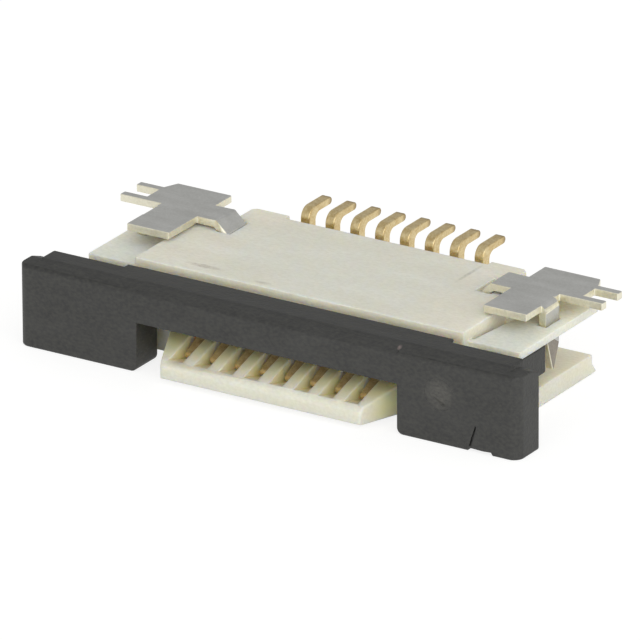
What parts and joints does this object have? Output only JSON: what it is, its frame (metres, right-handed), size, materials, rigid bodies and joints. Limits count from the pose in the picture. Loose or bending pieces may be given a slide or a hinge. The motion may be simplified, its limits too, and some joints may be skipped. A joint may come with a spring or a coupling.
{
  "type": "fpc connector",
  "caption": "Right-angle surface-mount slide-lock connector for a flat flexible cable, lying with its solder side up.",
  "frame": {"origin": "middle of the footprint, on the surface that the part rests on with its solder side up", "axes": "+X along the row of contacts, -Y the side where the cable enters, +Z the side that is soldered to the board"},
  "size_m": [0.01, 0.005, 0.0018],
  "materials": {
    "housing_plastic": "natural ivory-white glass-filled moulding, satin",
    "slider_plastic": "black glass-filled moulding, satin",
    "contact_gold": "gold plated over nickel, bright",
    "tab_tin": "matte tin plated, bare cut edges"
  },
  "bodies": {
    "housing": {"housing": "housing_plastic", "contact_1": "contact_gold", "contact_2": "contact_gold", "contact_3": "contact_gold", "contact_4": "contact_gold", "contact_5": "contact_gold", "contact_6": "contact_gold", "contact_7": "contact_gold", "contact_8": "contact_gold", "solder_tab_left": "tab_tin", "solder_tab_right": "tab_tin"},
    "slider": {"slider": "slider_plastic"}
  },
  "joints": [
    {"name": "slider_pull", "type": "slide", "parent": "housing", "child": "slider", "axis": [0, -1, 0], "range_m": [0, 0.00075]}
  ]
}
